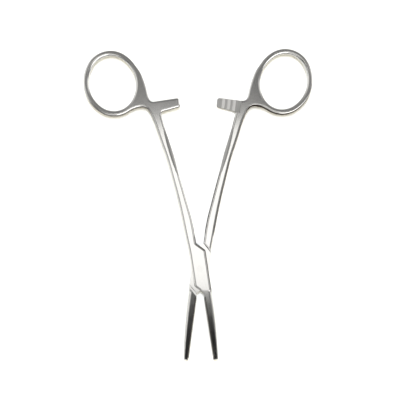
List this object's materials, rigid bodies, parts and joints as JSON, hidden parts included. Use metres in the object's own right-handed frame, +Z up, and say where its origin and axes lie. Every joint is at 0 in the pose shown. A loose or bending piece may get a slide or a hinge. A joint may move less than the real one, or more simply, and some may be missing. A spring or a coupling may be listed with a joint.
{
  "type": "hemostatic forceps",
  "caption": "Straight box-lock artery forceps with finger rings, slender bowed shanks, a stepped ratchet and cross-serrated jaws, lying open.",
  "frame": {"origin": "on the pivot axis, in the plane of the box's underside, which lies on the table", "axes": "+Y from the pivot towards the finger rings, midway between the halves as they stand open, +Z up out of the table along the pivot axis, +X towards the tongue half's ring"},
  "size_m": [0.0996, 0.135, 0.0044],
  "materials": {
    "satin_steel": "satin",
    "pin_steel": "satin"
  },
  "bodies": {
    "box_side": {"box_half": "satin_steel", "pivot_pin": "pin_steel"},
    "tongue_side": {"tongue_half": "satin_steel"}
  },
  "joints": [
    {"name": "box_lock_pivot", "type": "hinge", "parent": "box_side", "child": "tongue_side", "pos_m": [0, 0, 0], "axis": [0, 0, 1], "range_deg": [-19, 16]}
  ]
}
